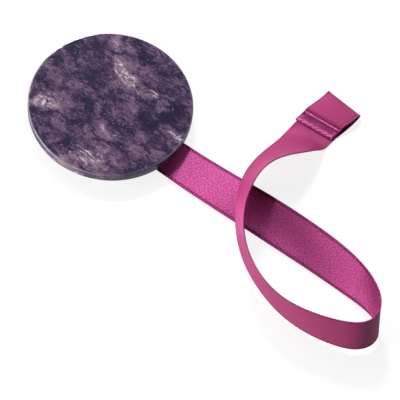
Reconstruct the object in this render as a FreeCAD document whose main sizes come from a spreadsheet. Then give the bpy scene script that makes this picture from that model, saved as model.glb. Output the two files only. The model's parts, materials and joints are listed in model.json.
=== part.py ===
import FreeCAD, Part
import math
import os

import Sketcher

# A magnetic curtain tieback: a flat stone disc glued to one end of a satin ribbon, with a magnet
# on its back, and a second magnet sewn into a pocket at the ribbon's far end.
#
# Millimetres. +Z points out of the disc's polished face, +X runs along the ribbon as it leaves the
# disc, and the origin is the centre of the disc magnet's flat face, on the disc's own axis. The
# whole thing lies on the plane Z = 0, as on a table.

DRIVING_SIZES = [
    ("disc_diameter", 60.0),
    ("disc_thickness", 4.0),
    ("disc_arris", 0.5),
    ("disc_magnet_diameter", 18.0),
    ("disc_magnet_thickness", 2.4),
    ("magnet_arris", 0.2),
    ("disc_glue_diameter", 20.0),
    ("magnet_glue_diameter", 17.0),
    ("glue_thickness", 0.1),
    ("ribbon_width", 15.3),
    ("ribbon_thickness", 0.35),
    ("anchor_offset", -2.0),
    ("anchor_half_length", 8.0),
    ("anchor_flat_end", 9.5),
    ("hinge_gap", 0.7),
    ("disc_hinge_x", 31.6),
    ("disc_hinge_z", 1.2),
    ("pocket_hinge_x", 63.37),
    ("pocket_hinge_y", 37.7),
    ("pocket_heading", 84.0),
    ("pocket_foot", 1.0),
    ("block_length", 4.8),
    ("pocket_length", 11.3),
    ("pocket_step_length", 0.7),
    ("pocket_magnet_length", 8.0),
    ("pocket_magnet_width", 13.0),
    ("pocket_magnet_thickness", 1.7),
    ("magnet_slack", 0.05),
    ("hem_length", 1.5),
    ("thread_width", 0.35),
    ("needle_thread_height", 0.2),
    ("bobbin_thread_height", 0.15),
    ("row_stitch_length", 1.6),
    ("row_stitch_pitch", 2.05),
    ("column_stitch_length", 1.1),
    ("column_stitch_pitch", 1.4),
    ("side_inset", 1.0),
    ("near_row_inset", 0.75),
    ("far_row_inset", 0.4),
]

# Places that follow from the sizes above. Heights are above Z = 0. Lengths in the pocket run from
# its hinge line towards its fold.
DERIVED_SIZES = [
    ("anchor_bottom", "=disc_magnet_thickness + glue_thickness"),
    ("anchor_top", "=anchor_bottom + ribbon_thickness"),
    ("disc_bottom", "=anchor_top + glue_thickness"),
    ("block_top", "=2 * ribbon_thickness"),
    ("hem_top", "=block_top + ribbon_thickness"),
    ("upper_layer_bottom", "=ribbon_thickness + pocket_magnet_thickness + 2 * magnet_slack"),
    ("pocket_top", "=upper_layer_bottom + ribbon_thickness"),
    ("fold_radius", "=pocket_top / 2"),
    ("fold_inner_radius", "=fold_radius - ribbon_thickness"),
    ("block_start", "=hinge_gap + pocket_foot"),
    ("block_end", "=block_start + block_length"),
    ("step_end", "=block_end + pocket_step_length"),
    ("fold_centre", "=block_end + pocket_length - fold_radius"),
    ("hem_end", "=block_start + hem_length"),
    ("near_row", "=block_start + near_row_inset"),
    ("far_row", "=block_end - far_row_inset"),
    ("side_column", "=ribbon_width / 2 - side_inset"),
]

# The ribbon's route from the disc's rim to the pocket, as control points of a cubic B-spline: x, y
# and z of the middle of the ribbon, and the angle in degrees by which its width leans up from level
# about its own direction. At 0 the satin face is up, at 90 the ribbon stands on its edge, and at
# 180 it lies on its satin face.
ROUTE = [
    (32.3, -2.0, 1.2, 0.0),
    (42.0, -2.0, 1.2, 4.0),
    (54.0, -2.0, 1.8, 9.0),
    (66.0, -2.0, 2.9, 18.0),
    (78.0, -2.5, 4.1, 29.0),
    (90.0, -3.0, 5.1, 39.0),
    (101.0, -4.0, 6.1, 48.0),
    (111.0, -5.5, 6.9, 62.0),
    (119.5, -8.0, 7.6, 79.0),
    (125.5, -12.0, 8.1, 94.0),
    (127.5, -18.0, 8.9, 103.0),
    (124.5, -24.0, 8.9, 103.0),
    (116.5, -27.5, 8.3, 98.0),
    (106.0, -30.0, 7.9, 92.0),
    (95.0, -30.5, 7.9, 84.0),
    (84.0, -27.5, 8.1, 82.0),
    (74.0, -22.0, 8.6, 86.0),
    (65.5, -13.5, 9.5, 94.0),
    (60.0, -3.0, 10.7, 106.0),
    (57.5, 7.5, 10.8, 119.0),
    (59.0, 18.0, 8.4, 132.0),
    (62.0, 27.0, 4.8, 147.0),
    (62.8, 32.7, 1.4, 166.0),
    (63.3, 37.0, 0.175, 180.0),
]

# The ribbon's loop is one strip on the real thing. It is divided at bends, so that no node holds a
# gap: each stretch runs from one control point of the route to another.
RIBBON_STRETCHES = [
    ("ribbon_run", 0, 3),
    ("ribbon_rise", 3, 6),
    ("ribbon_bend_out", 6, 9),
    ("ribbon_bend_back", 9, 12),
    ("ribbon_return", 12, 15),
    ("ribbon_side_bend", 15, 18),
    ("ribbon_crossing", 18, 20),
    ("ribbon_descent", 20, 23),
]
SECTIONS_PER_SPAN = 2

ROW_STITCHES = 7
COLUMN_STITCHES = 2

document = FreeCAD.newDocument("curtain_tieback")
sheet = document.addObject("Spreadsheet::Sheet", "sizes")
for row, (alias, content) in enumerate(DRIVING_SIZES + DERIVED_SIZES, start=1):
    sheet.set("A%d" % row, alias)
    sheet.set("B%d" % row, str(content))
    sheet.setAlias("B%d" % row, alias)
document.recompute()


def size(formula):
    """The number that a formula of the sheet's aliases, each written as sizes.alias, comes to."""
    return float(sheet.evalExpression(formula.replace("sizes.", "")))


def new_body(name):
    body = document.addObject("PartDesign::Body", name)
    body.Label = name
    return body


def new_sketch(body, name, role):
    """A sketch on one of the body's own origin planes."""
    plane = next(feature for feature in body.Origin.OriginFeatures if feature.Role == role)
    sketch = body.newObject("Sketcher::SketchObject", name)
    sketch.AttachmentSupport = [(plane, "")]
    sketch.MapMode = "FlatFace"
    return sketch


def closed_profile(sketch, corners):
    """Straight edges through the corners, each corner's two coordinates tied to the sheet."""
    points = [FreeCAD.Vector(size(across), size(up), 0) for across, up in corners]
    count = len(points)
    for index, point in enumerate(points):
        sketch.addGeometry(Part.LineSegment(point, points[(index + 1) % count]), False)
    for index in range(count):
        sketch.addConstraint(Sketcher.Constraint("Coincident", index, 2, (index + 1) % count, 1))
    for index, (corner, point) in enumerate(zip(corners, points)):
        for direction, formula, distance in zip(("DistanceX", "DistanceY"), corner, point):
            constraint = Sketcher.Constraint(direction, -1, 1, index, 1, distance)
            number = sketch.addConstraint(constraint)
            sketch.setExpression("Constraints[%d]" % number, formula)


def round_plate(name, diameter, thickness, bottom, arris=None):
    """A flat round piece on the disc's axis, both its edges rounded where an arris is given."""
    body = new_body(name)
    sketch = new_sketch(body, name + "_outline", "XY_Plane")
    radius = size(diameter) / 2
    sketch.addGeometry(Part.Circle(FreeCAD.Vector(), FreeCAD.Vector(0, 0, 1), radius), False)
    sketch.addConstraint(Sketcher.Constraint("Coincident", 0, 3, -1, 1))
    number = sketch.addConstraint(Sketcher.Constraint("Diameter", 0, 2 * radius))
    sketch.setExpression("Constraints[%d]" % number, diameter)
    pad = body.newObject("PartDesign::Pad", name + "_pad")
    pad.Profile = sketch
    pad.setExpression("Length", thickness)
    document.recompute()
    if arris:
        edges = enumerate(pad.Shape.Edges, start=1)
        rims = ["Edge%d" % number for number, edge in edges if edge.isClosed()]
        rounding = body.newObject("PartDesign::Fillet", name + "_rounding")
        rounding.Base = (pad, rims)
        rounding.setExpression("Radius", arris)
    body.setExpression("Placement.Base.z", bottom)
    return body


def ribbon_strip(name, corners):
    """Ribbon of the full width whose side view is the closed profile through the corners."""
    body = new_body(name)
    sketch = new_sketch(body, name + "_side_view", "XZ_Plane")
    closed_profile(sketch, corners)
    pad = body.newObject("PartDesign::Pad", name + "_pad")
    pad.Profile = sketch
    pad.Midplane = True
    pad.setExpression("Length", "sizes.ribbon_width")
    return body


def put_in_pocket(piece, length=0.0, across=0.0, height=0.0, turn=FreeCAD.Rotation()):
    """Place a piece by its distance along the pocket from the hinge line, across it and above Z = 0."""
    hinge = FreeCAD.Vector(size("sizes.pocket_hinge_x"), size("sizes.pocket_hinge_y"), 0)
    heading = FreeCAD.Rotation(FreeCAD.Vector(0, 0, 1), size("sizes.pocket_heading"))
    local = FreeCAD.Placement(FreeCAD.Vector(length, across, height), turn)
    piece.Placement = FreeCAD.Placement(hinge, heading).multiply(local)


# The disc and what is glued to its back.

def make_face_disc():
    sizes = ("sizes.disc_diameter", "sizes.disc_thickness", "sizes.disc_bottom", "sizes.disc_arris")
    return round_plate("face_disc", *sizes)


def make_disc_glue():
    """The adhesive between the ribbon's end and the disc."""
    sizes = ("sizes.disc_glue_diameter", "sizes.glue_thickness", "sizes.anchor_top")
    return round_plate("disc_glue", *sizes)


def make_magnet_glue():
    """The adhesive between the magnet and the ribbon's end."""
    sizes = ("sizes.magnet_glue_diameter", "sizes.glue_thickness", "sizes.disc_magnet_thickness")
    return round_plate("magnet_glue", *sizes)


def make_disc_magnet():
    sizes = ("sizes.disc_magnet_diameter", "sizes.disc_magnet_thickness", "0", "sizes.magnet_arris")
    return round_plate("disc_magnet", *sizes)


def make_ribbon_anchor():
    """The ribbon's glued end, and the stretch that slopes down to the table under the disc."""
    rim = "sizes.disc_hinge_x - sizes.hinge_gap"
    half = "sizes.ribbon_thickness / 2"
    body = ribbon_strip("ribbon_anchor", [
        ("-sizes.anchor_half_length", "sizes.anchor_bottom"),
        ("sizes.anchor_flat_end", "sizes.anchor_bottom"),
        (rim, "sizes.disc_hinge_z - " + half),
        (rim, "sizes.disc_hinge_z + " + half),
        ("sizes.anchor_flat_end", "sizes.anchor_top"),
        ("-sizes.anchor_half_length", "sizes.anchor_top"),
    ])
    body.setExpression("Placement.Base.y", "sizes.anchor_offset")
    return body


# The ribbon's loop.

def route_point(position):
    """Centre, tilt and direction of the ribbon at a position counted in control points."""
    first = [2 * a - b for a, b in zip(ROUTE[0], ROUTE[1])]
    last = [2 * a - b for a, b in zip(ROUTE[-1], ROUTE[-2])]
    poles = [first] + ROUTE + [last]
    span = min(int(position), len(ROUTE) - 2)
    u = position - span
    weights = ((1 - u) ** 3, 3 * u ** 3 - 6 * u ** 2 + 4, 1 + 3 * u + 3 * u ** 2 - 3 * u ** 3, u ** 3)
    slopes = (-(1 - u) ** 2, 3 * u ** 2 - 4 * u, 1 + 2 * u - 3 * u ** 2, u ** 2)
    near = poles[span:span + 4]
    x, y, z, tilt = [sum(w * pole[axis] for w, pole in zip(weights, near)) / 6 for axis in range(4)]
    direction = [sum(w * pole[axis] for w, pole in zip(slopes, near)) for axis in range(3)]
    return FreeCAD.Vector(x, y, z), tilt, FreeCAD.Vector(*direction).normalize()


def ribbon_section(position):
    """The ribbon's rectangular cross-section at a position on its route."""
    centre, tilt, along = route_point(position)
    left = FreeCAD.Vector(-along.y, along.x, 0).normalize()
    angle = math.radians(tilt)
    across = left * math.cos(angle) + along.cross(left) * math.sin(angle)
    half_width = across * (size("sizes.ribbon_width") / 2)
    half_thickness = along.cross(across) * (size("sizes.ribbon_thickness") / 2)
    corners = [
        centre - half_width - half_thickness,
        centre + half_width - half_thickness,
        centre + half_width + half_thickness,
        centre - half_width + half_thickness,
    ]
    return Part.makePolygon(corners + corners[:1])


def make_ribbon_stretch(name, start, end):
    count = (end - start) * SECTIONS_PER_SPAN
    positions = [start + (end - start) * step / count for step in range(count + 1)]
    stretch = document.addObject("Part::Feature", name)
    stretch.Label = name
    stretch.Shape = Part.makeLoft([ribbon_section(position) for position in positions], True, False)
    return stretch


# The pocket at the ribbon's far end. Its pieces are drawn with +X from the hinge line to the fold.

def make_pocket_lower_layer():
    """The ribbon's last free stretch, and the ribbon under the stitched block and the magnet."""
    layer = document.addObject("Part::Box", "pocket_lower_layer")
    layer.Label = "pocket_lower_layer"
    layer.setExpression("Length", "sizes.fold_centre - sizes.hinge_gap")
    layer.setExpression("Width", "sizes.ribbon_width")
    layer.setExpression("Height", "sizes.ribbon_thickness")
    across = -size("sizes.ribbon_width") / 2
    put_in_pocket(layer, size("sizes.hinge_gap"), across)
    return layer


def make_pocket_fold():
    """The half-round fold where the ribbon turns back over the magnet's end."""
    walls = []
    for side, radius in (("outer", "sizes.fold_radius"), ("inner", "sizes.fold_inner_radius")):
        wall = document.addObject("Part::Cylinder", "fold_" + side)
        wall.Angle = 180
        wall.setExpression("Radius", radius)
        wall.setExpression("Height", "sizes.ribbon_width")
        walls.append(wall)
    fold = document.addObject("Part::Cut", "pocket_fold")
    fold.Label = "pocket_fold"
    fold.Base, fold.Tool = walls
    across = -size("sizes.ribbon_width") / 2
    axis_across = FreeCAD.Rotation(FreeCAD.Vector(1, 1, 1), 240)
    put_in_pocket(fold, size("sizes.fold_centre"), across, size("sizes.fold_radius"), axis_across)
    return fold


def make_pocket_upper_layer():
    """The ribbon over the magnet, its step down, and its flat end on the stitched block."""
    body = ribbon_strip("pocket_upper_layer", [
        ("sizes.hem_end", "sizes.ribbon_thickness"),
        ("sizes.block_end + sizes.ribbon_thickness", "sizes.ribbon_thickness"),
        ("sizes.step_end + sizes.ribbon_thickness", "sizes.upper_layer_bottom"),
        ("sizes.fold_centre", "sizes.upper_layer_bottom"),
        ("sizes.fold_centre", "sizes.pocket_top"),
        ("sizes.step_end", "sizes.pocket_top"),
        ("sizes.block_end", "sizes.block_top"),
        ("sizes.hem_end", "sizes.block_top"),
    ])
    put_in_pocket(body)
    return body


def make_pocket_hem():
    """The ribbon's cut end, turned under: two layers thick at the near edge of the block."""
    body = ribbon_strip("pocket_hem", [
        ("sizes.block_start", "sizes.ribbon_thickness"),
        ("sizes.hem_end", "sizes.ribbon_thickness"),
        ("sizes.hem_end", "sizes.hem_top"),
        ("sizes.block_start", "sizes.hem_top"),
    ])
    put_in_pocket(body)
    return body


def make_pocket_magnet():
    """The bar magnet, all its edges rounded."""
    bar = document.addObject("Part::Box", "magnet_bar")
    bar.setExpression("Length", "sizes.pocket_magnet_length")
    bar.setExpression("Width", "sizes.pocket_magnet_width")
    bar.setExpression("Height", "sizes.pocket_magnet_thickness")
    document.recompute()
    magnet = document.addObject("Part::Fillet", "pocket_magnet")
    magnet.Label = "pocket_magnet"
    magnet.Base = bar
    arris = size("sizes.magnet_arris")
    magnet.Edges = [(number, arris, arris) for number in range(1, len(bar.Shape.Edges) + 1)]
    start = size("sizes.fold_centre + 2 * sizes.magnet_slack - sizes.pocket_magnet_length")
    across = -size("sizes.pocket_magnet_width") / 2
    put_in_pocket(magnet, start, across, size("sizes.ribbon_thickness + sizes.magnet_slack"))
    return magnet


def make_stitch(name, length, across, height, row, thickness):
    """One stitch that lies on a surface, centred where it is told; row stitches run across."""
    stitch = document.addObject("Part::Box", name)
    stretch = "sizes.row_stitch_length" if row else "sizes.column_stitch_length"
    sides = (stretch, "sizes.thread_width")
    along, over = (sides[1], sides[0]) if row else sides
    stitch.setExpression("Length", along)
    stitch.setExpression("Width", over)
    stitch.setExpression("Height", thickness)
    position = FreeCAD.Vector(length - size(along) / 2, across - size(over) / 2, height)
    stitch.Placement = FreeCAD.Placement(position, FreeCAD.Rotation())
    return stitch


def make_thread(name, near_height, block_height, thickness):
    """The box of stitches round the block: a row at each end and a column at each side."""
    stitches = []
    rows = ((size("sizes.near_row"), near_height), (size("sizes.far_row"), block_height))
    for length, height in rows:
        for index in range(ROW_STITCHES):
            across = (index - (ROW_STITCHES - 1) / 2) * size("sizes.row_stitch_pitch")
            label = "%s_stitch_%d" % (name, len(stitches) + 1)
            stitches.append(make_stitch(label, length, across, height, True, thickness))
    middle = size("(sizes.hem_end + sizes.far_row) / 2")
    for side in (-1, 1):
        for index in range(COLUMN_STITCHES):
            step = (index - (COLUMN_STITCHES - 1) / 2) * size("sizes.column_stitch_pitch")
            across = side * size("sizes.side_column")
            label = "%s_stitch_%d" % (name, len(stitches) + 1)
            stitches.append(make_stitch(label, middle + step, across, block_height, False, thickness))
    thread = document.addObject("Part::Compound", name)
    thread.Label = name
    thread.Links = stitches
    put_in_pocket(thread)
    return thread


def make_needle_thread():
    heights = (size("sizes.hem_top"), size("sizes.block_top"))
    return make_thread("needle_thread", *heights, "sizes.needle_thread_height")


def make_bobbin_thread():
    """The underside's stitches, which are bedded in the ribbon, flush with its underside."""
    return make_thread("bobbin_thread", 0.0, 0.0, "sizes.bobbin_thread_height")


pieces = [
    make_face_disc(),
    make_disc_glue(),
    make_ribbon_anchor(),
    make_magnet_glue(),
    make_disc_magnet(),
]
pieces += [make_ribbon_stretch(*stretch) for stretch in RIBBON_STRETCHES]
pieces += [
    make_pocket_lower_layer(),
    make_pocket_fold(),
    make_pocket_upper_layer(),
    make_pocket_hem(),
    make_pocket_magnet(),
    make_needle_thread(),
    make_bobbin_thread(),
]
document.recompute()

for item in document.Objects:
    if "Invalid" in item.State or "Error" in item.State:
        raise RuntimeError("%s did not compute: %s" % (item.Name, item.State))
for piece in pieces:
    if piece.Shape.isNull() or not piece.Shape.isValid():
        raise RuntimeError("%s has no valid shape" % piece.Label)

os.makedirs("parts", exist_ok=True)
for piece in pieces:
    piece.Shape.exportStep("parts/%s.step" % piece.Label)
    print("%-20s %9.2f mm3" % (piece.Label, piece.Shape.Volume))
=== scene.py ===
import json
import math

import bpy
import numpy as np
from mathutils import Matrix, Vector


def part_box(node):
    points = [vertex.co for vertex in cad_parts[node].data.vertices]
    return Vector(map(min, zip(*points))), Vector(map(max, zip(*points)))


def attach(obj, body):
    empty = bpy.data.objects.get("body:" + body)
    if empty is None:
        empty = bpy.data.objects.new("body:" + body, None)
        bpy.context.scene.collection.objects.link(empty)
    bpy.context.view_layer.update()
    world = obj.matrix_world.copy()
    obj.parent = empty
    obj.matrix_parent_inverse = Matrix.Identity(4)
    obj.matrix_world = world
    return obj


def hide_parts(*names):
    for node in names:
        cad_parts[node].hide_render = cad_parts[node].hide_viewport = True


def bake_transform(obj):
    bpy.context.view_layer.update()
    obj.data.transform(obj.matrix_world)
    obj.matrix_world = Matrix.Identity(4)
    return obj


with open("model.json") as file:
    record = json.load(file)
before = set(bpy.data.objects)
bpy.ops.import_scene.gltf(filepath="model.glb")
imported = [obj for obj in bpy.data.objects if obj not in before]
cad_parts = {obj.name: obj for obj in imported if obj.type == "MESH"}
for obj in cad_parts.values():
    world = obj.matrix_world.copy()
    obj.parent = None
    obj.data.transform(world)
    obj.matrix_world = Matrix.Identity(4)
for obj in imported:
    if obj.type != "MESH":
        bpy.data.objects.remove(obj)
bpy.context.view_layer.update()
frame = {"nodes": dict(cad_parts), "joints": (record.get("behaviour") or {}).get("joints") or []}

# A magnetic curtain tieback lying on a table: a polished stone disc glued to one end of a satin
# ribbon, and a second magnet sewn into a pocket at the ribbon's other end. Lengths are in metres,
# and the materials' coordinates are in millimetres.
MM = 0.001

# ---------------------------------------------------------------- the ribbon's sizes and route
HALF_WIDTH = 7.65 * MM
HALF_THICKNESS = 0.16 * MM
EDGE_HALF_THICKNESS = 0.1 * MM
SELVEDGE = 1.0 * MM
RIB_PITCH = 1.0 * MM
RIB_HEIGHT = 0.16 * MM
PICOT_DEPTH = 0.1 * MM
GROOVE_DEPTH = 0.06 * MM
GROOVE_WIDTH = 0.20 * MM
STATION_STEP = RIB_PITCH / 4
COLUMN_STEP = 0.75 * MM
UV_PER_METRE = 4

# The ribbon's route from under the disc to the pocket, as control points of a cubic B-spline:
# x, y and z of the middle of the ribbon, and the angle in degrees by which its width leans up from
# level about its own direction.
UNDER_DISC = [
    (-0.0080, -0.0020, 0.002675, 0),
    (0.0000, -0.0020, 0.002675, 0),
    (0.0080, -0.0020, 0.002675, 0),
    (0.0160, -0.0020, 0.002250, 0),
    (0.0240, -0.0020, 0.001620, 0),
]
LOOP = [
    (0.0323, -0.0020, 0.0012, 0),
    (0.0420, -0.0020, 0.0012, 4),
    (0.0540, -0.0020, 0.0018, 9),
    (0.0660, -0.0020, 0.0029, 18),
    (0.0780, -0.0025, 0.0041, 29),
    (0.0900, -0.0030, 0.0051, 39),
    (0.1010, -0.0040, 0.0061, 48),
    (0.1110, -0.0055, 0.0069, 62),
    (0.1195, -0.0080, 0.0076, 79),
    (0.1255, -0.0120, 0.0081, 94),
    (0.1275, -0.0180, 0.0089, 103),
    (0.1245, -0.0240, 0.0089, 103),
    (0.1165, -0.0275, 0.0083, 98),
    (0.1060, -0.0300, 0.0079, 92),
    (0.0950, -0.0305, 0.0079, 84),
    (0.0840, -0.0275, 0.0081, 82),
    (0.0740, -0.0220, 0.0086, 86),
    (0.0655, -0.0135, 0.0095, 94),
    (0.0600, -0.0030, 0.0107, 106),
    (0.0575, 0.0075, 0.0108, 119),
    (0.0590, 0.0180, 0.0084, 132),
    (0.0620, 0.0270, 0.0048, 147),
    (0.0628, 0.0327, 0.0014, 166),
    (0.0633, 0.0370, 0.000175, 180),
]
ROUTE = np.array(UNDER_DISC + LOOP, float)
ROUTE_END = len(ROUTE) - 1
# The two strips meet under the crossing, where the return hides the joint between them.
STRIP_JOINT = len(UNDER_DISC) + 2.45


def joint_named(name):
    return next(joint for joint in frame["joints"] if joint["name"] == name)


# ---------------------------------------------------------------- the pocket, from its hinge line
pocket_joint = joint_named("pocket_at_block")
POCKET_HINGE = np.array(pocket_joint["pos_m"], float)
POCKET_ACROSS = np.array(pocket_joint["axis"], float)
POCKET_ALONG = np.cross([0, 0, 1.0], POCKET_ACROSS)
LAYER = 0.35 * MM
POCKET_HEIGHT = 2.5 * MM
FOLD_CENTRE = 16.95 * MM
FOLD_LENGTH = math.pi * (POCKET_HEIGHT - LAYER) / 2
FOLD_SHIFT = 0.8 * MM
SOFTENING_ROUNDS = 6

# The top layer's outline, side on, as places along the pocket and heights.
STEP_START = 7.5 * MM
GROOVE_BOTTOM = (7.05 * MM, 1.0 * MM)
RIDGE_TOP = (6.45 * MM, 1.65 * MM)
RIDGE_FOOT = (5.95 * MM, 1.1 * MM)
BLOCK_FOOT = (3.5 * MM, 0.45 * MM)

# The hem lies askew on the block, and is shifted across it.
HEM_END = 3.2 * MM
HEM_EDGE = 1.95 * MM
HEM_SKEW = 0.157
HEM_SHIFT = 0.6 * MM

# How the top layer stands off that outline, in millimetres: it swells in the middle and sinks at
# the sides over the magnet, bulges by the magnet's far end and dips along one side.
PUFF_SWELL = 0.34
PUFF_SINK = 0.16
END_BULGE = 0.12
SIDE_DIP = 0.22
END_BULGE_PLACE = 15.6 * MM
END_BULGE_LENGTH = 1.6 * MM

# The block's stitches: a row on the hem, a row by the magnet and a column at each side.
ROW_STITCHES = 7
ROW_PITCH = 2.05 * MM
COLUMN_STITCHES = 2
COLUMN_PITCH = 1.4 * MM
NEAR_ROW = 2.55 * MM
FAR_ROW = RIDGE_TOP[0]
SIDE_COLUMN = 6.65 * MM
ZIGZAG = 0.36 * MM
THREAD_TWISTS = 3
HEM_TOP = 1.0 * MM
BLOCK_TOP = 0.68 * MM
RIDGE_SEAT = 1.5 * MM
# Painted shade: how much darker the satin in the sunken block between the stitch rows is made.
RECESS_SHADE_DARKNESS = 0.62


def srgb(red, green, blue):
    """A colour given as it shows on a screen, 0 to 255, in the linear values that shaders use."""
    values = []
    for channel in (red, green, blue):
        share = channel / 255
        values.append(share / 12.92 if share <= 0.04045 else ((share + 0.055) / 1.055) ** 2.4)
    return (*values, 1.0)


def grey(level):
    return (level, level, level, 1)


def smoothstep(x, low, high):
    share = np.clip((x - low) / (high - low), 0, 1)
    return share * share * (3 - 2 * share)


# ---------------------------------------------------------------- shader helpers
def add_node(material, kind, inputs=None, **settings):
    """A shader node with its settings, and its inputs set to values or linked to other sockets."""
    tree = material.node_tree
    node = tree.nodes.new("ShaderNode" + kind)
    for name, value in settings.items():
        setattr(node, name, value)
    for name, value in (inputs or {}).items():
        if isinstance(value, bpy.types.NodeSocket):
            tree.links.new(value, node.inputs[name])
        else:
            node.inputs[name].default_value = value
    return node


def calculate(material, operation, first, second):
    return add_node(material, "Math", {0: first, 1: second}, operation=operation).outputs[0]


def mapped(material, value, start, end, low=0.0, high=1.0, kind="SMOOTHSTEP"):
    """A value carried from the range start to end over to the range low to high."""
    inputs = {"Value": value, "From Min": start, "From Max": end, "To Min": low, "To Max": high}
    return add_node(material, "MapRange", inputs, interpolation_type=kind).outputs[0]


def blend_colours(material, share, first, second, mode="MIX"):
    node = add_node(material, "Mix", {0: share, 6: first, 7: second}, data_type="RGBA", blend_type=mode)
    return node.outputs[2]


def ramp(material, value, stops):
    """A colour ramp: stops are (place, colour) pairs."""
    node = add_node(material, "ValToRGB", {0: value})
    elements = node.color_ramp.elements
    while len(elements) < len(stops):
        elements.new(0.5)
    for element, (place, colour) in zip(elements, stops):
        element.position = place
        element.color = colour
    return node.outputs[0]


def noise(material, vector, scale, detail, roughness, output="Fac"):
    inputs = {"Vector": vector, "Scale": scale, "Detail": detail, "Roughness": roughness}
    return add_node(material, "TexNoise", inputs).outputs[output]


def stretched(material, vector, scale):
    return add_node(material, "Mapping", {"Vector": vector, "Scale": scale}).outputs[0]


def brick_weave(material, place, mortar, width, offset):
    """A weave as rows of bricks, each row stepped along from the last."""
    inputs = {"Vector": place, "Scale": 1.0, "Mortar Size": mortar, "Brick Width": width, "Row Height": 0.2}
    return add_node(material, "TexBrick", inputs, offset=offset).outputs["Fac"]


def new_material(name, **values):
    """A material with a Principled shader, and that shader."""
    material = bpy.data.materials.new(name)
    material.use_nodes = True
    shader = material.node_tree.nodes["Principled BSDF"]
    for socket, value in values.items():
        shader.inputs[socket.replace("_", " ")].default_value = value
    return material, shader


def link(material, output, shader, socket):
    material.node_tree.links.new(output, shader.inputs[socket])


def add_bump(material, shader, height, strength, depth_mm):
    """Turns the shader's normal by the slope of a height that is depth_mm from 0 to 1."""
    bump = add_node(material, "Bump", {"Height": height, "Strength": strength, "Distance": depth_mm * MM})
    link(material, bump.outputs[0], shader, "Normal")


def object_mm(material):
    """The object's own coordinates, in millimetres."""
    place = add_node(material, "TexCoord").outputs["Object"]
    return stretched(material, place, (1 / MM, 1 / MM, 1 / MM))


def cloth_mm(material):
    """Coordinates that run along and across the ribbon, in millimetres."""
    place = add_node(material, "UVMap", uv_map="cloth").outputs[0]
    per_unit = 1 / (UV_PER_METRE * MM)
    return stretched(material, place, (per_unit, per_unit, per_unit))


# ---------------------------------------------------------------- materials
# The stone's folds push its pattern about by up to half of these, in millimetres.
FOLD_PUSH = 9.0
FOLD_NUDGE = 5.5
# Its pale and dark patches come from one noise, so that they never overlap.
PATCH_STRETCH = (0.62, 1, 1)
PATCHES_PER_MM = 0.12
PALE_FROM, PALE_FULL = 0.54, 0.74
DARK_FROM, DARK_FULL = 0.48, 0.34
PALE_GAIN = 0.11
DARK_LOSS = 0.14
# The disc's upper edge, where a highlight is painted paler all round, in millimetres in from its outline and
# down from its face.
ARRIS_IN = (0.55, 0.3)
ARRIS_DOWN = (0.6, 0.35)
RIM_HIGHLIGHT_SHARE = 0.45


def rim_highlight_share(material, place):
    """1 on the disc's upper edge, where a highlight is painted, 0 on its face and wall."""
    split = add_node(material, "SeparateXYZ", {0: place})
    flat = add_node(material, "CombineXYZ", {"X": split.outputs["X"], "Y": split.outputs["Y"]}).outputs[0]
    reach = add_node(material, "VectorMath", {0: flat}, operation="LENGTH").outputs["Value"]
    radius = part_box("face_disc")[1][0] / MM
    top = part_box("face_disc")[1][2] / MM
    outer = mapped(material, reach, radius - ARRIS_IN[0], radius - ARRIS_IN[1], kind="LINEAR")
    upper = mapped(material, split.outputs["Z"], top - ARRIS_DOWN[0], top - ARRIS_DOWN[1], kind="LINEAR")
    return calculate(material, "MULTIPLY", outer, upper)


def pushed(material, place, shift, reach):
    """Coordinates moved by a shift that is scaled to a reach."""
    push = add_node(material, "VectorMath", {0: shift, "Scale": reach}, operation="SCALE").outputs[0]
    return add_node(material, "VectorMath", {0: place, 1: push}, operation="ADD").outputs[0]


def stone_body(material, place, bent, eased, pale, dark):
    """The stone's own colour: banks, fibres, grain, bordered clouds, and pale and dark patches."""
    banks = noise(material, stretched(material, bent, (0.5, 1, 1)), scale=0.22, detail=4, roughness=0.6)
    fibres = noise(material, stretched(material, eased, (0.24, 1, 1)), scale=1.2, detail=4, roughness=0.8)
    grain = noise(material, stretched(material, place, (0.6, 1, 1)), scale=1.6, detail=4, roughness=0.8)
    tone = 0.5
    for layer, weight in ((banks, 0.65), (fibres, 1.05), (grain, 0.55)):
        centred = calculate(material, "SUBTRACT", layer, 0.5)
        tone = calculate(material, "ADD", calculate(material, "MULTIPLY", centred, weight), tone)
    clouds = {"Vector": stretched(material, bent, (0.7, 1.0, 1.0)), "Scale": 0.15}
    from_middle = add_node(material, "TexVoronoi", clouds).outputs["Distance"]
    from_border = add_node(material, "TexVoronoi", clouds, feature="DISTANCE_TO_EDGE").outputs["Distance"]
    puff = mapped(material, from_middle, 0.1, 0.75, 0.075, -0.045)
    border = mapped(material, from_border, 0.0, 0.15, -0.085, 0.0)
    tone = calculate(material, "ADD", tone, calculate(material, "ADD", puff, border))
    tone = calculate(material, "ADD", tone, calculate(material, "MULTIPLY", pale, PALE_GAIN))
    tone = calculate(material, "SUBTRACT", tone, calculate(material, "MULTIPLY", dark, DARK_LOSS))
    return ramp(material, tone, [
        (0.27, srgb(42, 37, 61)),
        (0.38, srgb(60, 48, 75)),
        (0.47, srgb(84, 65, 93)),
        (0.54, srgb(101, 78, 107)),
        (0.62, srgb(118, 93, 117)),
        (0.76, srgb(144, 124, 138)),
    ])


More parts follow.
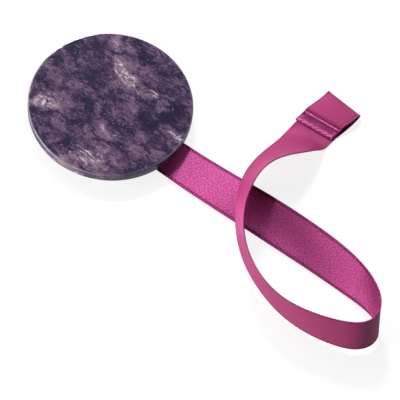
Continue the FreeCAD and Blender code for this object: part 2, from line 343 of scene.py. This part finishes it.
def make_stone():
    """Polished purple stone: dark patches, mauve clouds, fibres along X and pale crystals with a painted
    glint.
    """
    material, shader = new_material("polished_stone", Roughness=0.1, IOR=1.54)
    place = object_mm(material)
    folds = noise(material, place, scale=0.16, detail=3, roughness=0.6, output="Color")
    shift = add_node(material, "VectorMath", {0: folds, 1: (0.5, 0.5, 0.5)}, operation="SUBTRACT").outputs[0]
    bent = pushed(material, place, shift, FOLD_PUSH)
    eased = pushed(material, place, shift, FOLD_NUDGE)
    patched = stretched(material, eased, PATCH_STRETCH)
    patches = noise(material, patched, scale=PATCHES_PER_MM, detail=1, roughness=0.5)
    pale = mapped(material, patches, PALE_FROM, PALE_FULL)
    dark = mapped(material, patches, DARK_FROM, DARK_FULL)
    body = stone_body(material, place, bent, eased, pale, dark)

    # Painted glint: near-white broken streaks in the pale patches' cores, where polished crystals would catch
    # the light.
    drawn_out = stretched(material, eased, (0.45, 1.0, 1.0))
    streaks = noise(material, drawn_out, scale=1.0, detail=4, roughness=0.75)
    core = calculate(material, "POWER", pale, 2.2)
    shine = calculate(material, "MULTIPLY", core, calculate(material, "SUBTRACT", streaks, 0.48))
    painted_glint = ramp(material, shine, [(0.02, grey(0)), (0.14, grey(1))])
    lit = blend_colours(material, painted_glint, body, srgb(220, 205, 210))

    specks = add_node(material, "TexVoronoi", {"Vector": bent, "Scale": 1.0, "Randomness": 1.0})
    dot = ramp(material, specks.outputs["Distance"], [(0.08, grey(1)), (0.24, grey(0))])
    spread = noise(material, place, scale=0.6, detail=3, roughness=0.6)
    chosen = ramp(material, spread, [(0.50, grey(0)), (0.62, grey(0.85))])
    speck = blend_colours(material, 1.0, dot, chosen, "MULTIPLY")
    specked = blend_colours(material, speck, lit, srgb(186, 168, 180))
    # Painted highlight: the disc's upper edge is paled towards grey-mauve all round.
    rim_highlight = calculate(material, "MULTIPLY", rim_highlight_share(material, place), RIM_HIGHLIGHT_SHARE)
    link(material, blend_colours(material, rim_highlight, specked, srgb(176, 166, 176)), shader, "Base Color")

    wear = noise(material, place, scale=0.5, detail=4, roughness=0.6)
    link(material, ramp(material, wear, [(0.35, grey(0.07)), (0.7, grey(0.14))]), shader, "Roughness")
    pits = noise(material, place, scale=2.5, detail=3, roughness=0.6)
    add_bump(material, shader, pits, strength=0.05, depth_mm=0.05)
    return material


def shade_woven_edge(material, colour, strength):
    """Paints shade into a ribbon's colour in the groove beside its selvedge and between the selvedge's ribs.
    """
    gap_shade = add_node(material, "Attribute", attribute_name="gap_shade").outputs["Fac"]
    share = calculate(material, "MULTIPLY", gap_shade, strength)
    return blend_colours(material, share, colour, srgb(52, 6, 28))


def make_satin():
    """The satin face: long floats that shine where they face the light and go deep red in shade."""
    material, shader = new_material("satin_face", Roughness=0.36, Anisotropic=0.3, IOR=3.8)
    shader.inputs["Specular IOR Level"].default_value = 1.0
    place = cloth_mm(material)
    floats = noise(material, stretched(material, place, (1.0, 1.9, 1.0)), scale=1.5, detail=3, roughness=0.75)
    colour = ramp(material, floats, [
        (0.30, (0.07, 0.002, 0.014, 1)),
        (0.50, (0.14, 0.005, 0.032, 1)),
        (0.70, (0.27, 0.016, 0.074, 1)),
    ])
    link(material, shade_woven_edge(material, colour, 0.85), shader, "Base Color")
    sparkle = noise(material, stretched(material, place, (0.8, 1.5, 1.0)), scale=1.9, detail=2, roughness=0.7)
    shine = ramp(material, sparkle, [(0.38, (0.40, 0.04, 0.18, 1)), (0.60, (1.0, 0.22, 0.64, 1))])
    # Painted shade in the reflection as well: the groove and the gaps between the ribs reflect a dark tint.
    gap_shade = add_node(material, "Attribute", attribute_name="gap_shade").outputs["Fac"]
    link(material, blend_colours(material, gap_shade, shine, (0.22, 0.03, 0.12, 1)), shader, "Specular Tint")
    tangent = add_node(material, "Tangent", direction_type="UV_MAP", uv_map="cloth")
    link(material, tangent.outputs[0], shader, "Tangent")
    weave = brick_weave(material, place, mortar=0.03, width=0.9, offset=0.4)
    height = calculate(material, "SUBTRACT", floats, calculate(material, "MULTIPLY", weave, 0.35))
    add_bump(material, shader, height, strength=0.8, depth_mm=0.2)
    return material


def make_matte():
    """The back of the single-face satin: a dull, close weave."""
    material, shader = new_material("matte_back", Roughness=0.5, IOR=1.75)
    shader.inputs["Specular Tint"].default_value = (1.0, 0.26, 0.58, 1)
    shader.inputs["Sheen Weight"].default_value = 1.0
    shader.inputs["Sheen Roughness"].default_value = 0.3
    shader.inputs["Sheen Tint"].default_value = (1.0, 0.22, 0.56, 1)
    place = cloth_mm(material)
    tone = noise(material, place, scale=1.6, detail=3, roughness=0.6)
    colour = ramp(material, tone, [
        (0.30, (0.28, 0.021, 0.102, 1)),
        (0.50, (0.345, 0.028, 0.128, 1)),
        (0.72, (0.42, 0.041, 0.165, 1)),
    ])
    link(material, shade_woven_edge(material, colour, 0.35), shader, "Base Color")
    weave = brick_weave(material, place, mortar=0.04, width=0.32, offset=0.5)
    add_bump(material, shader, weave, strength=0.35, depth_mm=-0.04)
    return material


def make_thread():
    """Glossy pink sewing thread, its plies twisted in the mesh and its fibres in the bump."""
    material, shader = new_material("sewing_thread", Roughness=0.35, IOR=2.0)
    shader.inputs["Specular Tint"].default_value = (1.0, 0.45, 0.8, 1)
    place = object_mm(material)
    tone = noise(material, place, scale=5.0, detail=3, roughness=0.6)
    colour = ramp(material, tone, [(0.3, (0.80, 0.13, 0.44, 1)), (0.7, (1.0, 0.32, 0.68, 1))])
    link(material, colour, shader, "Base Color")
    fibres = noise(material, place, scale=14.0, detail=2, roughness=0.5)
    add_bump(material, shader, fibres, strength=0.4, depth_mm=0.03)
    return material


def make_nickel():
    """Nickel plating on a magnet, with faint tumbling marks."""
    material, shader = new_material("nickel_plate", Metallic=1.0)
    place = object_mm(material)
    tone = noise(material, place, scale=0.8, detail=5, roughness=0.6)
    colour = ramp(material, tone, [(0.3, (0.50, 0.48, 0.45, 1)), (0.7, (0.66, 0.64, 0.60, 1))])
    link(material, colour, shader, "Base Color")
    marks = noise(material, stretched(material, place, (0.3, 2.0, 1.0)), scale=3.0, detail=5, roughness=0.7)
    polish = ramp(material, marks, [(0.3, grey(0.16)), (0.75, grey(0.38))])
    link(material, polish, shader, "Roughness")
    add_bump(material, shader, marks, strength=0.15, depth_mm=0.02)
    return material


def make_glue():
    """Cured clear adhesive, slightly amber, with trapped bubbles."""
    material, shader = new_material("cured_glue", Roughness=0.3, IOR=1.5)
    place = object_mm(material)
    bubbles = add_node(material, "TexVoronoi", {"Vector": place, "Scale": 1.8})
    colour = ramp(material, bubbles.outputs["Distance"],
                  [(0.1, (0.72, 0.66, 0.50, 1)), (0.35, (0.50, 0.44, 0.30, 1))])
    link(material, colour, shader, "Base Color")
    add_bump(material, shader, bubbles.outputs["Distance"], strength=0.3, depth_mm=0.05)
    return material


# ---------------------------------------------------------------- the ribbon as a woven strip
def spline_at(poles, place):
    """Points and directions of a uniform cubic B-spline at places counted in control points."""
    before = 2 * poles[0] - poles[1]
    after = 2 * poles[-1] - poles[-2]
    padded = np.vstack([before, poles, after])
    span = np.minimum(place.astype(int), len(poles) - 2)
    u = (place - span)[:, None]
    weights = ((1 - u) ** 3, 3 * u**3 - 6 * u**2 + 4, 1 + 3 * u + 3 * u**2 - 3 * u**3, u**3)
    slopes = (-((1 - u) ** 2), 3 * u**2 - 4 * u, 1 + 2 * u - 3 * u**2, u**2)
    point = sum(weight * padded[span + k] for k, weight in enumerate(weights)) / 6
    direction = sum(slope * padded[span + k] for k, slope in enumerate(slopes)) / 2
    return point, direction


def unit(vectors):
    return vectors / np.linalg.norm(vectors, axis=-1, keepdims=True)


def length_along(points):
    return np.concatenate([[0], np.cumsum(np.linalg.norm(np.diff(points, axis=0), axis=1))])


def route_stations(start, end):
    """The ribbon's middle, the direction across it and the way its satin faces, at even steps."""
    fine = np.linspace(start, end, 5000)
    travelled = length_along(spline_at(ROUTE, fine)[0][:, :3])
    count = round(travelled[-1] / STATION_STEP)
    place = np.interp(np.linspace(0, travelled[-1], count + 1), travelled, fine)
    point, direction = spline_at(ROUTE, place)
    along = unit(direction[:, :3])
    level = unit(np.stack([-along[:, 1], along[:, 0], 0 * along[:, 0]], axis=1))
    tilt = np.radians(point[:, 3:4])
    across = np.cos(tilt) * level + np.sin(tilt) * np.cross(along, level)
    return point[:, :3], across, np.cross(along, across)


def arc(centre, radius, start, end, count=13):
    """Points round part of a circle, with angles in degrees."""
    angles = np.radians(np.linspace(start, end, count))
    return [(centre[0] + radius * math.cos(a), centre[1] + radius * math.sin(a)) for a in angles]


def wrap_path():
    """The pocket's folded end, side on: places along the pocket and heights of the ribbon's middle."""
    low = LAYER / 2
    fold_middle = POCKET_HEIGHT / 2
    top = POCKET_HEIGHT - low
    block = 1.5 * LAYER
    hem = 2.5 * LAYER
    path = [(-0.5 * MM, low)]
    path += arc((FOLD_CENTRE, fold_middle), fold_middle - low, -90, 90)
    path += [(STEP_START, top), GROOVE_BOTTOM, RIDGE_TOP, RIDGE_FOOT]
    path += [BLOCK_FOOT, (HEM_END - 0.2 * MM, hem)]
    path += arc((HEM_EDGE, 2 * LAYER), LAYER / 2, 90, 270)
    path += [(HEM_END - 0.1 * MM, block)]
    return np.array(path)


def wrap_stations():
    """The folded end's stations, with their places along the pocket and along the strip."""
    path = wrap_path()
    travelled = length_along(path)
    count = round(travelled[-1] / STATION_STEP)
    steps = np.linspace(0, travelled[-1], count + 1)
    along = np.interp(steps, travelled, path[:, 0])
    height = np.interp(steps, travelled, path[:, 1])
    middle = POCKET_HINGE + along[:, None] * POCKET_ALONG
    middle[:, 2] = height
    heading = np.gradient(middle, axis=0)
    across = np.tile(POCKET_ACROSS, (len(middle), 1))
    return middle, across, unit(np.cross(heading, across)), along, steps


def soften(values, rounds):
    """Rounds off the corners of a row of points by averaging each with its neighbours."""
    for _ in range(rounds):
        values[1:-1] = 0.5 * values[1:-1] + 0.25 * (values[:-2] + values[2:])
    return values


def ribbon_columns():
    """Places across the ribbon, closer together in the selvedges."""
    inner = HALF_WIDTH - SELVEDGE
    edge = [inner - 0.25 * MM, inner - 0.1 * MM, inner, inner + 0.12 * MM, inner + 0.3 * MM,
            inner + 0.55 * MM, inner + 0.8 * MM, HALF_WIDTH - 0.06 * MM, HALF_WIDTH]
    count = round((inner - 0.5 * MM) / COLUMN_STEP)
    half = [*np.linspace(0, inner - 0.5 * MM, count + 1), *edge]
    return np.array([-v for v in reversed(half[1:])] + half)


def build_strip(name, middle, across, facing, first_length, relief=None, dull=None, recess_shade=None):
    """A closed mesh of the ribbon: satin side, matte side, ribbed selvedges and cut ends.

    Where dull is true of a station, the satin side is matte as well. Where a station has a darkness above 0,
    shade is painted into it: the satin of the sunken stitched block is that much darker.
    """
    columns = ribbon_columns()
    distance = first_length + np.arange(len(middle)) * STATION_STEP
    cos_rib = np.cos(2 * math.pi * distance / RIB_PITCH)[:, None]
    reach = np.abs(columns)[None, :]
    inner = HALF_WIDTH - SELVEDGE
    band = smoothstep(reach, inner, inner + 0.15 * MM)
    groove = np.exp(-(((reach - inner) / GROOVE_WIDTH) ** 2))
    picot = np.where(reach > HALF_WIDTH - 0.1 * MM, (0.5 - 0.5 * cos_rib) * PICOT_DEPTH, 0)
    offset = np.sign(columns)[None, :] * (reach - picot)
    half = np.where(reach > HALF_WIDTH - 0.02 * MM, EDGE_HALF_THICKNESS, HALF_THICKNESS)
    ribs = band * (0.5 + 0.5 * cos_rib) * RIB_HEIGHT * (reach < HALF_WIDTH - 0.02 * MM)
    front = half + ribs - groove * GROOVE_DEPTH
    back = half + 0.3 * ribs
    lift = np.zeros_like(offset) if relief is None else relief
    sheet = middle[:, None] + offset[..., None] * across[:, None] + lift[..., None] * facing[:, None]
    upper = sheet + front[..., None] * facing[:, None]
    lower = sheet - back[..., None] * facing[:, None]
    ring = np.concatenate([upper, lower[:, ::-1]], axis=1)
    stations, around = ring.shape[:2]
    width = len(columns)

    corner = np.arange(stations * around).reshape(stations, around)
    following = np.roll(corner, -1, axis=1)
    sides = np.stack([corner[:-1], corner[1:], following[1:], following[:-1]], axis=-1).reshape(-1, 4)
    pairs = np.arange(width - 1)
    opposite = around - 1 - pairs
    cap = np.stack([pairs, pairs + 1, opposite - 1, opposite], axis=-1)
    caps = np.concatenate([cap, corner[-1][cap[:, ::-1]]])

    mesh = bpy.data.meshes.new(name)
    mesh.from_pydata(ring.reshape(-1, 3).tolist(), [], np.concatenate([sides, caps]).tolist())
    slot_of = np.tile(np.where(np.arange(around) < width - 1, 0, 1), (stations - 1, 1))
    if dull is not None:
        slot_of[dull[:-1]] = 1
    slots = np.concatenate([slot_of.ravel(), np.ones(len(caps), int)])
    mesh.polygons.foreach_set("material_index", slots.astype(np.int32))
    mesh.shade_smooth()

    # Painted shade: how much the groove and the gaps between the ribs are darkened, where shade falls.
    gap_shade = np.clip(band * (0.5 - 0.6 * cos_rib) + groove * (0.8 - 0.3 * cos_rib), 0, 1)
    if recess_shade is not None:
        gap_shade = np.maximum(gap_shade, recess_shade[:, None])
    gap_shade_ring = np.concatenate([gap_shade, gap_shade[:, ::-1]], axis=1).astype(np.float32)
    mesh.attributes.new("gap_shade", "FLOAT", "POINT").data.foreach_set("value", gap_shade_ring.ravel())
    along_uv = np.repeat(distance, around) * UV_PER_METRE
    across_uv = np.tile(np.concatenate([columns, columns[::-1]]), stations) * UV_PER_METRE + 0.5
    vertex_of_corner = np.zeros(len(mesh.loops), np.int32)
    mesh.loops.foreach_get("vertex_index", vertex_of_corner)
    uv = np.stack([along_uv, across_uv], axis=1)[vertex_of_corner].astype(np.float32)
    mesh.uv_layers.new(name="cloth").data.foreach_set("uv", uv.ravel())

    ends = set(range(around)) | set(range((stations - 1) * around, stations * around))
    for edge in mesh.edges:
        a, b = edge.vertices
        edge.use_edge_sharp = a in ends and b in ends
    mesh.validate()
    piece = bpy.data.objects.new(name, mesh)
    bpy.context.scene.collection.objects.link(piece)
    return piece


def pocket_relief(along, travelled, columns):
    """How far the folded end stands off its path: puffed over the magnet, pulled in at the stitches."""
    over_start = FOLD_CENTRE + 0.5 * MM + FOLD_LENGTH * 0.6
    over = smoothstep(travelled, over_start, over_start + 3 * MM)
    over = over * smoothstep(along, STEP_START - 0.4 * MM, STEP_START + 1.6 * MM)
    crown = np.sqrt(np.clip(1 - (columns / (HALF_WIDTH * 1.04)) ** 2, 0, 1))
    bulge = np.exp(-(((along - END_BULGE_PLACE) / END_BULGE_LENGTH) ** 2))
    puff = over[:, None] * (PUFF_SWELL * crown[None, :] - PUFF_SINK) * MM
    puff += (over * bulge)[:, None] * END_BULGE * crown[None, :] * MM
    side = smoothstep(-columns, HALF_WIDTH - 1.3 * MM, HALF_WIDTH)
    puff -= over[:, None] * side[None, :] * SIDE_DIP * MM
    return puff


def hem_share(travelled):
    """How far each station of the folded end follows the askew hem: 0 at the fold, 1 at the hem."""
    after_fold = FOLD_CENTRE + FOLD_LENGTH
    return smoothstep(travelled, after_fold + 2 * MM, after_fold + 8.5 * MM)


def make_ribbon_root():
    """The strip glued under the disc, which runs out to where the return crosses it, and its length."""
    middle, across, facing = route_stations(0, STRIP_JOINT)
    return build_strip("ribbon_root", middle, across, facing, 0.0), length_along(middle)[-1]


def make_ribbon_loop(first_length):
    """The strip that makes the loop and folds over the second magnet, and its length."""
    middle, across, facing = route_stations(STRIP_JOINT, ROUTE_END)
    wrap_middle, wrap_across, wrap_facing, along, travelled = wrap_stations()
    columns = ribbon_columns()
    route_count = len(middle)
    relief = np.zeros((route_count + len(wrap_middle), len(columns)))
    relief[route_count:] = pocket_relief(along, travelled, columns)
    middle = soften(np.concatenate([middle, wrap_middle]), SOFTENING_ROUNDS)
    facing = unit(soften(np.concatenate([facing, wrap_facing]), SOFTENING_ROUNDS))
    across = unit(soften(np.concatenate([across, wrap_across]), SOFTENING_ROUNDS))
    share = np.zeros((len(middle), 1))
    share[route_count:, 0] = hem_share(travelled)
    drift = smoothstep(along, 2 * MM, FOLD_CENTRE - 3 * MM)[:, None] * FOLD_SHIFT
    middle[route_count:] += drift * POCKET_ACROSS
    middle = middle - share * HEM_SHIFT * POCKET_ACROSS
    across = across + share * HEM_SKEW * POCKET_ALONG
    dull = np.zeros(len(middle), bool)
    dull[route_count:] = (travelled > FOLD_CENTRE) & (along > GROOVE_BOTTOM[0])
    # Painted shade inside the stitched block, a recess between the hem and the ridge.
    recess_shade = np.zeros(len(middle))
    inside = smoothstep(along, NEAR_ROW + 0.3 * MM, NEAR_ROW + 1.0 * MM) * (along < FAR_ROW - 0.3 * MM)
    recess_shade[route_count:] = RECESS_SHADE_DARKNESS * inside * (travelled > FOLD_CENTRE)
    piece = build_strip("ribbon_loop", middle, across, facing, first_length, relief, dull, recess_shade)
    return piece, length_along(middle)[-1]


# ---------------------------------------------------------------- the sewing thread
def thread_stitch(start, end, rise, radius, twists):
    """Rings of points for the two plies of one stitch, from hole to hole."""
    steps = 14
    sides = 8
    start, end = np.array(start, float), np.array(end, float)
    direction = unit(end - start)
    sideways = unit(np.cross([0, 0, 1.0], direction))
    plies = []
    for ply in range(2):
        rings = []
        for i in range(steps + 1):
            share = i / steps
            hump = math.sin(math.pi * share) ** 0.55
            centre = start + (end - start) * share + np.array([0, 0, rise * hump - radius])
            turn = 2 * math.pi * twists * share + math.pi * ply
            centre = centre + 0.55 * radius * (math.cos(turn) * sideways + np.array([0, 0, math.sin(turn)]))
            slope = math.pi * rise * math.cos(math.pi * share) / np.linalg.norm(end - start)
            normal = unit(np.array([0, 0, 1.0]) - slope * direction)
            ring = []
            for k in range(sides):
                angle = 2 * math.pi * k / sides
                ring.append(centre + 0.62 * radius * (math.cos(angle) * sideways + math.sin(angle) * normal))
            rings.append(ring)
        plies.append(rings)
    return plies


def build_tubes(name, all_rings):
    """One mesh of closed tubes, each a list of rings of points."""
    points, faces = [], []
    for rings in all_rings:
        base = len(points)
        sides = len(rings[0])
        for ring in rings:
            points += [tuple(p) for p in ring]
        for i in range(len(rings) - 1):
            for k in range(sides):
                a = base + i * sides + k
                b = base + i * sides + (k + 1) % sides
                faces.append((a, b, b + sides, a + sides))
        faces.append(tuple(base + k for k in reversed(range(sides))))
        last = base + (len(rings) - 1) * sides
        faces.append(tuple(last + k for k in range(sides)))
    mesh = bpy.data.meshes.new(name)
    mesh.from_pydata(points, [], faces)
    mesh.shade_smooth()
    mesh.validate()
    piece = bpy.data.objects.new(name, mesh)
    bpy.context.scene.collection.objects.link(piece)
    return piece


def pocket_point(along, across, height):
    """A point of the pocket, from places along and across it and a height, all in metres."""
    point = POCKET_HINGE + (along + HEM_SKEW * across) * POCKET_ALONG
    point += (across - HEM_SHIFT) * POCKET_ACROSS
    point[2] = height
    return point


def stitch_ends(zigzag):
    """The block's stitches: each one's start and end as (along, across), and where it is."""
    stitches = []
    for row, place in ((NEAR_ROW, "hem"), (FAR_ROW, "ridge")):
        reach = ROW_PITCH * (0.46 if place == "hem" else 0.50)
        lean = zigzag if place == "hem" else 0.0
        for i in range(ROW_STITCHES):
            middle = (i - (ROW_STITCHES - 1) / 2) * ROW_PITCH
            stitches.append(((row - lean, middle - reach), (row + lean, middle + reach), place))
    column_middle = (NEAR_ROW + FAR_ROW) / 2 - 0.15 * MM
    for side in (-SIDE_COLUMN, SIDE_COLUMN):
        for i in range(COLUMN_STITCHES):
            middle = column_middle + (i - (COLUMN_STITCHES - 1) / 2) * COLUMN_PITCH
            half = COLUMN_PITCH * 0.45
            stitches.append(((middle - half, side), (middle + half, side), "side"))
    return stitches


def make_needle_thread():
    """The stitches seen on top of the block: a row on the hem, a row by the magnet, two columns."""
    looks = {
        "hem": (HEM_TOP, 0.6 * MM, 0.32 * MM),
        "ridge": (RIDGE_SEAT, 0.26 * MM, 0.24 * MM),
        "side": (BLOCK_TOP, 0.5 * MM, 0.24 * MM),
    }
    rings = []
    for start, end, place in stitch_ends(ZIGZAG):
        height, rise, radius = looks[place]
        a, b = pocket_point(*start, height), pocket_point(*end, height)
        rings += thread_stitch(a, b, rise, radius, THREAD_TWISTS)
    return build_tubes("needle_stitches", rings)


def make_bobbin_thread():
    """The stitches under the block, pressed into the ribbon."""
    radius = 0.09 * MM
    rings = []
    for start, end, _ in stitch_ends(0.0):
        a, b = pocket_point(*start, 0.0), pocket_point(*end, 0.0)
        plies = thread_stitch(a, b, -0.02 * MM, radius, THREAD_TWISTS)
        lift = np.array([0, 0, 2.3 * radius])
        rings += [[[p + lift for p in ring] for ring in ply] for ply in plies]
    return build_tubes("bobbin_stitches", rings)


# ---------------------------------------------------------------- stage, light and camera
CAMERA_AZIMUTH = 27.0
CAMERA_ELEVATION = 61.0
CAMERA_ROLL = 9.4
CAMERA_TARGET = (0.04685, -0.0093, 0.0)
CAMERA_DISTANCE = 0.89513
CAMERA_LENS = 225.0
TABLE_LEVEL = -0.0003
TABLE_RADIUS = 1.2
BACKDROP_RADIUS = 6.0
STAGE_MIDDLE_X = 0.05
LIGHT_FROM_BELOW = 0.49
LIGHT_FROM_ABOVE = 0.04
# Each soft box's name, azimuth from +X towards +Y and elevation in degrees, side in metres and watts.
SOFT_BOXES = [
    ("soft_box_back_left", 135, 44, 0.14, 6.8),
    ("soft_box_left", 165, 45, 0.40, 3.0),
    ("soft_box_front_left", 222, 19, 0.40, 6.6),
    ("soft_box_low_front", 238, -12, 0.40, 7.4),
    ("soft_box_back", 100, 30, 0.40, 1.4),
]
SOFT_BOX_DISTANCE = 1.0


def make_stage():
    """A pale table top and a pale backdrop. Only the camera sees them, so they light nothing."""
    table_place = (STAGE_MIDDLE_X, 0, TABLE_LEVEL)
    bpy.ops.mesh.primitive_circle_add(
        vertices=96, radius=TABLE_RADIUS, fill_type="NGON", location=table_place)
    table = bpy.context.active_object
    table.name = "table_top"
    backdrop_place = (STAGE_MIDDLE_X, 0, 0)
    bpy.ops.mesh.primitive_uv_sphere_add(
        segments=64, ring_count=32, radius=BACKDROP_RADIUS, location=backdrop_place)
    backdrop = bpy.context.active_object
    backdrop.name = "backdrop"
    finishes = ((table, "pale_table", 0.24, 0.85), (backdrop, "pale_backdrop", 0.0, 0.93))
    for stage, name, base, glow in finishes:
        material, shader = new_material(name, Roughness=0.9)
        shader.inputs["Base Color"].default_value = grey(base)
        shader.inputs["Specular IOR Level"].default_value = 0.0
        shader.inputs["Emission Color"].default_value = (1, 1, 1, 1)
        shader.inputs["Emission Strength"].default_value = glow
        stage.data.materials.append(material)
        stage.visible_diffuse = False
        stage.visible_glossy = False
        stage.visible_transmission = False
        stage.visible_shadow = False


def make_world():
    """Even light from below, as from a white table, and a little from above."""
    world = bpy.data.worlds.new("studio")
    bpy.context.scene.world = world
    world.use_nodes = True
    tree = world.node_tree
    background = tree.nodes["Background"]
    direction = tree.nodes.new("ShaderNodeTexCoord")
    split = tree.nodes.new("ShaderNodeSeparateXYZ")
    tree.links.new(direction.outputs["Generated"], split.inputs[0])
    level = tree.nodes.new("ShaderNodeMapRange")
    level.inputs["From Min"].default_value = -0.06
    level.inputs["From Max"].default_value = 0.06
    level.inputs["To Min"].default_value = LIGHT_FROM_BELOW
    level.inputs["To Max"].default_value = LIGHT_FROM_ABOVE
    tree.links.new(split.outputs["Z"], level.inputs["Value"])
    tree.links.new(level.outputs[0], background.inputs["Strength"])
    background.inputs["Color"].default_value = (1.0, 1.0, 1.0, 1)


def make_light(name, azimuth, elevation, side, energy):
    """A square soft box aimed at the middle of the view."""
    light = bpy.data.lights.new(name, "AREA")
    light.shape = "SQUARE"
    light.size = side
    light.energy = energy
    lamp = bpy.data.objects.new(name, light)
    bpy.context.scene.collection.objects.link(lamp)
    a, e = math.radians(azimuth), math.radians(elevation)
    back = Vector((math.cos(a) * math.cos(e), math.sin(a) * math.cos(e), math.sin(e)))
    lamp.location = Vector(CAMERA_TARGET) + back * SOFT_BOX_DISTANCE
    lamp.rotation_mode = "QUATERNION"
    lamp.rotation_quaternion = back.to_track_quat("Z", "Y")


def make_camera():
    camera_data = bpy.data.cameras.new("camera")
    camera_data.lens = CAMERA_LENS
    camera_data.sensor_width = 36.0
    camera_data.clip_start = 0.05
    camera_data.clip_end = 20.0
    camera = bpy.data.objects.new("camera", camera_data)
    bpy.context.scene.collection.objects.link(camera)
    azimuth, elevation, roll = map(math.radians, (CAMERA_AZIMUTH, CAMERA_ELEVATION, CAMERA_ROLL))
    back = Vector((math.sin(azimuth) * math.cos(elevation), -math.cos(azimuth) * math.cos(elevation),
                   math.sin(elevation)))
    level_right = Vector((math.cos(azimuth), math.sin(azimuth), 0))
    level_up = back.cross(level_right)
    right = math.cos(roll) * level_right + math.sin(roll) * level_up
    up = -math.sin(roll) * level_right + math.cos(roll) * level_up
    place = Vector(CAMERA_TARGET) + back * CAMERA_DISTANCE
    camera.matrix_world = Matrix((
        (right.x, up.x, back.x, place.x),
        (right.y, up.y, back.y, place.y),
        (right.z, up.z, back.z, place.z),
        (0, 0, 0, 1),
    ))
    bpy.context.scene.camera = camera


# ---------------------------------------------------------------- the whole scene
def finish_cad_node(name, material):
    """Gives a CAD piece that shows as it is its finish."""
    piece = frame["nodes"][name]
    piece.data.materials.clear()
    piece.data.materials.append(material)


make_camera()
make_stage()
make_world()
for soft_box in SOFT_BOXES:
    make_light(*soft_box)
bpy.context.scene.view_settings.view_transform = "Standard"

satin = make_satin()
matte = make_matte()
thread = make_thread()
nickel = make_nickel()
glue = make_glue()

finish_cad_node("face_disc", make_stone())
finish_cad_node("disc_magnet", nickel)
finish_cad_node("pocket_magnet", nickel)
finish_cad_node("disc_glue", glue)
finish_cad_node("magnet_glue", glue)

ribbon_root, root_length = make_ribbon_root()
ribbon_loop, loop_length = make_ribbon_loop(root_length)
for strip in (ribbon_root, ribbon_loop):
    strip.data.materials.append(satin)
    strip.data.materials.append(matte)

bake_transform(ribbon_root)
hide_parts("ribbon_anchor", "ribbon_run")

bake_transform(ribbon_loop)
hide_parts("ribbon_rise", "ribbon_bend_out", "ribbon_bend_back", "ribbon_return",
            "ribbon_side_bend", "ribbon_crossing", "ribbon_descent", "pocket_lower_layer",
            "pocket_fold", "pocket_upper_layer", "pocket_hem")

needle_stitches = make_needle_thread()
bobbin_stitches = make_bobbin_thread()
for stitches, cad_node in ((needle_stitches, "needle_thread"), (bobbin_stitches, "bobbin_thread")):
    stitches.data.materials.append(thread)
    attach(stitches, "pocket")
    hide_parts(cad_node)
